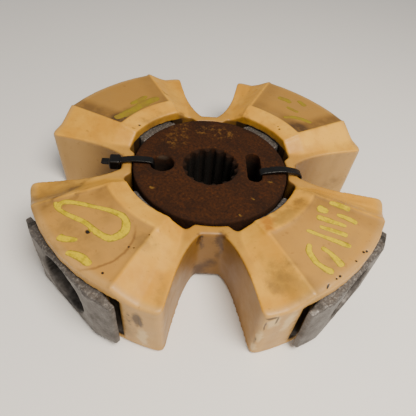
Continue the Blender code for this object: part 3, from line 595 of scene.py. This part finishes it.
# Painted shade, near black, over the tops of the plates' wings near their ends, where the lobe's slot
# lies.
plate_corner_shade = spots(tree, on_plate, ((30, 19, 0, 4.5, 3, 9, 0),))
plate_corner_shade = add(tree, "MapRange", [plate_corner_shade, 0.1, 0.5, 0, 0.9])
streak_share = add(tree, "MapRange", [streaks, 0.5, 0.62, 0, 0.6])
streak_share = add(tree, "Math", [streak_share, in_bore], operation="MULTIPLY")
colour = layered(tree, linear("#55514E"), (
    (sand_share, "#767270"),
    (patch_share, "#4A4642"),
    (crumb_share, "#A09C97"),
    (bore_share, "#2E2A27"),
    (streak_share, "#686460"),
    (plate_corner_shade, "#12100E"),
))
tree.links.new(colour, surface.inputs["Base Color"])
surface.inputs["Metallic"].default_value = 0.7  # the rest is oxide and dust
dullness = add(tree, "MapRange", [patches, 0.3, 0.7, 0.48, 0.66])
tree.links.new(dullness, surface.inputs["Roughness"])
on_face = add(tree, "MapRange", [along, plate_face - 2 * MM, plate_face - 1 * MM, 1, 0.35])
skin = add(tree, "Math", [sand, on_face], operation="MULTIPLY")
relief = add(tree, "Bump", {"Height": skin, "Distance": 0.25 * MM, "Strength": 0.7})
tree.links.new(relief, surface.inputs["Normal"])

for number in range(1, 5):
    insert = rounded_copy(f"aluminium_insert_{number}", f"cast_insert_{number}", INSERT_CELL, 1)
    press_in(insert, FLOW_DEPTH, FLOW_WIDTH, seed=number)
    press_in(insert, SAND_DEPTH, SAND_WIDTH, seed=number + 10)
    press_in(insert, CRUST_DEPTH, CRUST_WIDTH, seed=number + 20, facing_up=0.35)
    insert.data.materials.append(casting)
    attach(insert, "root")
    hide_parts(f"aluminium_insert_{number}")

# Hub. A steel disc, turned and broached, with an internal involute spline for the pump's
# shaft, a round hole and a slot in its face, and four radial holes behind the inserts. It has
# stood damp, so an even coat of brown rust has eaten its turned faces.

HUB_CELL = 0.7 * MM
RUST_DEPTH, RUST_WIDTH = 0.3 * MM, 2.2 * MM
SCAB_DEPTH, SCAB_WIDTH = 0.35 * MM, 8 * MM
SPLINE_ROOT_RADIUS = 15.9 * MM
hub_radius, _, hub_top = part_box("splined_hub")[1]

# Rusted steel: matt dark brown scale with a grain like coarse sand, redder where it is fresh,
# with ochre powder in patches, painted light on one hole's far wall, and painted shade with old
# oil, almost black, down the face holes and the bore. The grain, about 0.5 mm in real rust, is
# drawn at 1.5 mm so that it shows.
rust, tree, surface = new_material("rusted turned steel")
place = add(tree, "TexCoord", output="Object")
x, y, z = [add(tree, "SeparateXYZ", [place], axis) for axis in range(3)]
in_plan = add(tree, "CombineXYZ", [x, y])
radius = add(tree, "VectorMath", [in_plan], 1, operation="LENGTH")
scale = add(tree, "TexNoise", {
    "Vector": place, "Scale": 1 / (1.5 * MM), "Detail": 5, "Roughness": 0.7,
})
powder = add(tree, "TexNoise", {
    "Vector": place, "Scale": 1 / (2.6 * MM), "Detail": 4, "Roughness": 0.65,
})
patches = add(tree, "TexNoise", {"Vector": place, "Scale": 1 / (15 * MM), "Detail": 4})
shaken = add(tree, "TexNoise", {"Vector": place, "Scale": 1 / (4 * MM), "Detail": 4}, output=1)
shaken = add(tree, "VectorMath", [shaken, MIDDLE], operation="SUBTRACT")
ragged = add(tree, "VectorMath", [shaken, [6 * MM] * 3, place], operation="MULTIPLY_ADD")

ochre = spots(tree, ragged, (
    (-21, 25.5, 40.9, 9, 9, 9, 0),
    (-13, 29.5, 40.9, 5, 8, 5, 0),
    (-27, 20, 40.9, 6, 6, 5, 0),
    (-31, 1, 40.9, 9, 10, 7, 0),
    (-38, 12, 40.9, 7, 8, 7, 0),
))
ochre = add(tree, "MapRange", [ochre, 0, 0.45])
ochre_grain = add(tree, "MapRange", [powder, 0.5, 0.66, 0, 0.5])
ochre = add(tree, "Math", [ochre, ochre_grain], operation="MULTIPLY")
chips = spots(tree, ragged, (
    (34.4, -2.8, 40.9, 1.6, 1.2, 4, 0),
    (37.7, -16.5, 40.9, 1.5, 1.1, 4, 0),
    (33, 14.8, 40.9, 2.0, 1.0, 4, 0),
    (-8, -38, 40.9, 1.2, 1.4, 4, 0),
))
chips = add(tree, "MapRange", [chips, 0.1, 0.6, 0, 0.45])

# Painted light greys the round hole's far wall. Below, painted shade with old oil turns the holes and
# the bore black.
hole_wall_light = spots(tree, place, ((-24, -15.6, 39.4, 4, 4, 3, 0),))
hole_wall_light = add(tree, "MapRange", [hole_wall_light, 0, 0.5, 0, 0.5])
inside_hub = add(tree, "MapRange", [z, hub_top - 0.6 * MM, hub_top - 1.6 * MM])
hole_wall_light = add(tree, "Math", [hole_wall_light, inside_hub], operation="MULTIPLY")
holes_shade_and_oil = add(tree, "MapRange", [z, hub_top - 2 * MM, hub_top - 8 * MM, 0, 0.85])
inside_rim = add(tree, "MapRange", [radius, hub_radius - 1.5 * MM, hub_radius - 2.5 * MM])
holes_shade_and_oil = add(tree, "Math", [holes_shade_and_oil, inside_rim], operation="MULTIPLY")
# Painted shade with old oil, darker the deeper it goes down the splined bore.
in_bore = add(tree, "MapRange", [radius, SPLINE_ROOT_RADIUS + 0.6 * MM, SPLINE_ROOT_RADIUS])
deep = add(tree, "MapRange", [z, hub_top - 1 * MM, hub_top - 9 * MM, 0.55, 1])
in_bore = add(tree, "Math", [in_bore, deep], operation="MULTIPLY")
scale_share = add(tree, "MapRange", [scale, 0.35, 0.65])
patch_share = add(tree, "MapRange", [patches, 0.48, 0.66, 0, 0.55])
fresh_share = add(tree, "MapRange", [powder, 0.55, 0.68, 0, 0.5])
speck_share = add(tree, "MapRange", [scale, 0.64, 0.73, 0, 0.65])
rim_share = add(tree, "MapRange", [radius, hub_radius - 4 * MM, hub_radius - 0.4 * MM, 0, 0.45])
colour = layered(tree, linear("#221004"), (
    (scale_share, "#412209"),
    (patch_share, "#1D0E05"),
    (fresh_share, "#4A2407"),
    (speck_share, "#7A4E1A"),
    (rim_share, "#1A0C05"),
    (ochre, "#7C5824"),
    (chips, "#94702E"),
    (hole_wall_light, "#5A4E42"),
    (holes_shade_and_oil, "#080402"),
    (in_bore, "#070402"),
))
tree.links.new(colour, surface.inputs["Base Color"])
surface.inputs["Roughness"].default_value = 0.9
surface.inputs["Metallic"].default_value = 0.1  # nearly all of it is rust
surface.inputs["Specular IOR Level"].default_value = 0.25
relief = add(tree, "Bump", {"Height": scale, "Distance": 0.25 * MM, "Strength": 0.7})
tree.links.new(relief, surface.inputs["Normal"])

hub = rounded_copy("splined_hub", "rusted_hub", HUB_CELL, 1)
press_in(hub, SCAB_DEPTH, SCAB_WIDTH, seed=6)
press_in(hub, RUST_DEPTH, RUST_WIDTH, seed=4)
hub.data.materials.append(rust)
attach(hub, "root")
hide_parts("splined_hub")

# Cable ties. Two black nylon ties hold the loose hub in the element, one through the hub's
# round hole and one through its slot. Each is a flat strap drawn tight through its own head.

TIE_CELL = 0.35 * MM

# Nylon, moulded: black with a satin skin, so the strap shows one long soft highlight.
nylon, tree, surface = new_material("moulded black nylon")
place = add(tree, "TexCoord", output="Object")
dust = add(tree, "TexNoise", {"Vector": place, "Scale": 1 / (3 * MM), "Detail": 3})
dust_share = add(tree, "MapRange", [dust, 0.45, 0.7, 0, 0.5])
colour = layered(tree, linear("#030304"), ((dust_share, "#0B0B0C"),))
tree.links.new(colour, surface.inputs["Base Color"])
sheen = add(tree, "MapRange", [dust, 0.3, 0.7, 0.32, 0.46])
tree.links.new(sheen, surface.inputs["Roughness"])
surface.inputs["IOR"].default_value = 1.53
surface.inputs["Specular IOR Level"].default_value = 0.35

for side in ("left", "right"):
    tie = rounded_copy(f"cable_tie_{side}", f"nylon_tie_{side}", TIE_CELL, 1)
    tie.data.materials.append(nylon)
    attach(tie, "root")
    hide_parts(f"cable_tie_{side}")

# Paint marks. A store has drawn a plain loop and dashes on the lobes with a yellow paint
# marker, still thick on the two front lobes and mostly rubbed off the two at the back.

PAINT_LIFT, EDGE_SINK = 0.15 * MM, 0.1 * MM
HALF_COLUMNS = 3  # columns of points on each side of a stroke's middle
END_TAPER = 2.5  # points over which a stroke narrows to its end
ABOVE_ALL = 60 * MM  # height from which the points drop onto the element

# Each stroke's path over the element: x, y and the stroke's width there, in mm.
front_strokes = (
    ((-21, -85.4, 3), (-24.6, -82, 3.8), (-20, -76.6, 3.2), (-10, -70.6, 3), (0, -64.8, 3.6),
     (7.4, -65.4, 4.8), (12, -71, 5.8), (11, -77.4, 5), (4, -80, 4), (-5, -79.8, 3.4),
     (-14, -83.4, 3), (-21.4, -85.2, 3.2), (-26, -83.6, 2.8)),
    ((-6.6, -93.9, 5), (-3, -92.8, 4.6), (1, -88.7, 2.6)),
    ((3.7, -96.4, 3.4), (8.4, -93.2, 5.2), (16.4, -92.5, 4.4)),
    ((75.2, -10.4, 3.2), (78.6, -15.4, 3.8), (85.6, -17.6, 3.6), (92.4, -16, 4.8)),
    ((80.4, -7.6, 3.2), (87, -7.6, 3.6), (93.4, -10, 4.8)),
    ((69.4, -4.2, 3.4), (79, -0.8, 3), (90, 3.4, 4.2)),
    ((72.4, 2.8, 3.2), (79, 5.4, 3.6), (85.2, 8.2, 4)),
    ((67.6, 7.2, 4.6), (73.6, 9.6, 4), (81.6, 13, 3)),
    ((64.2, 12.8, 6), (69.8, 14.4, 4.8)),
    ((74, 16.2, 3), (79.6, 18.4, 4.2), (84.4, 18.6, 3.4)),
    ((66.6, 20.6, 3.4), (71.8, 23, 4.6), (77, 24.2, 3.6)),
)
rubbed_strokes = (
    ((-65, -19, 5), (-64.4, -8, 8), (-66.6, 3, 7), (-66, 17, 6)),
    ((-71, -2, 4), (-72, 12, 5)),
    ((-14.6, 81.4, 4), (-9, 83.6, 5), (-4.6, 83, 3.6)),
    ((-3, 89.4, 3.6), (4.4, 87.8, 4.4)),
    ((-3.4, 76.6, 3), (5.6, 77.6, 3.6)),
    ((2.6, 65, 3), (8.3, 72, 3.8), (18.4, 74.4, 3.4)),
)


def painted(name, strokes, seed):
    """Strokes as thin skins of paint that lie on the element, with their edges sunk into it."""
    ground = BVHTree.FromObject(element, bpy.context.evaluated_depsgraph_get())
    skin = bmesh.new()
    across_stroke = skin.loops.layers.uv.new("across_stroke")
    for number, path in enumerate(strokes):
        path = [Vector(point) * MM for point in path]
        # each round cuts the path's corners, which makes it smooth
        for _ in range(2):
            cut = [p.lerp(q, share) for p, q in zip(path, path[1:]) for share in (0.25, 0.75)]
            path = [path[0], *cut, path[-1]]
        rows = []
        for i, point in enumerate(path):
            before, after = path[max(i - 1, 0)], path[min(i + 1, len(path) - 1)]
            side = (after - before).xy.orthogonal().normalized()
            to_end = min(i + 0.6, len(path) - i - 0.4) / END_TAPER
            half = point.z / 2 * min(1, math.sqrt(to_end))
            row = []
            for column in range(-HALF_COLUMNS, HALF_COLUMNS + 1):
                wobble = noise.noise(Vector((i * 0.45, column * 2.3, seed + number * 9.1)))
                spot = point.xy + side * half * (column / HALF_COLUMNS) * (1 + 0.4 * wobble)
                hit = ground.ray_cast(Vector((*spot, ABOVE_ALL)), Vector((0, 0, -1)))[0]
                at_edge = abs(column) == HALF_COLUMNS
                lift = -EDGE_SINK if at_edge else PAINT_LIFT * (1 + 0.4 * wobble)
                row.append(skin.verts.new((*spot, hit.z + lift)))
            rows.append(row)
        for first, second in zip(rows, rows[1:]):
            for k in range(2 * HALF_COLUMNS):
                face = skin.faces.new((first[k], first[k + 1], second[k + 1], second[k]))
                for loop, column in zip(face.loops, (k, k + 1, k + 1, k)):
                    loop[across_stroke].uv = (column / HALF_COLUMNS - 1, 0)
    bmesh.ops.recalc_face_normals(skin, faces=skin.faces)
    if sum(face.normal.z for face in skin.faces) < 0:
        bmesh.ops.reverse_faces(skin, faces=skin.faces)
    mesh = bpy.data.meshes.new(name)
    skin.to_mesh(mesh)
    skin.free()
    mesh.shade_smooth()
    piece = bpy.data.objects.new(name, mesh)
    bpy.context.scene.collection.objects.link(piece)
    return piece


# Oil paint from a marker, drawn by hand: an opaque yellow with a slight gloss, thinner and
# olive towards a stroke's edges. Rubbed, it is an olive stain with the tan showing through.
for name, strokes, seed, full, thin, worn_from in (
    ("marker_strokes_front", front_strokes, 1, "#CAB000", "#80720C", 0.49),
    ("marker_strokes_back", rubbed_strokes, 2, "#8E7C1E", "#86682E", 0.42),
):
    paint, tree, surface = new_material(f"drawn yellow paint {name}")
    place = add(tree, "TexCoord", output="Object")
    drag = add(tree, "TexNoise", {
        "Vector": place, "Scale": 1 / (4 * MM), "Detail": 4, "Roughness": 0.6,
    })
    grain = add(tree, "TexNoise", {"Vector": place, "Scale": 1 / (1.2 * MM), "Detail": 3})
    stroke = add(tree, "UVMap", uv_map="across_stroke")
    stroke = add(tree, "SeparateXYZ", [stroke])
    from_middle = add(tree, "Math", [stroke], operation="ABSOLUTE")
    from_middle = add(tree, "Math", [grain, 0.5, from_middle], operation="MULTIPLY_ADD")
    edge = add(tree, "MapRange", [from_middle, 0.82, 1.02, 0, 0.85])
    worn = add(tree, "MapRange", [drag, worn_from, worn_from + 0.2, 0, 0.7])
    dark = add(tree, "MapRange", [grain, 0.56, 0.7, 0, 0.35])
    colour = layered(tree, linear(full), ((worn, thin), (dark, "#7E6F1A"), (edge, "#7C6A26")))
    tree.links.new(colour, surface.inputs["Base Color"])
    gloss = add(tree, "MapRange", [drag, 0.3, 0.7, 0.34, 0.5])
    tree.links.new(gloss, surface.inputs["Roughness"])
    surface.inputs["Specular IOR Level"].default_value = 0.15
    relief = add(tree, "Bump", {"Height": grain, "Distance": 0.08 * MM, "Strength": 0.5})
    tree.links.new(relief, surface.inputs["Normal"])
    marks = painted(name, strokes, seed)
    marks.data.materials.append(paint)
    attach(marks, "root")
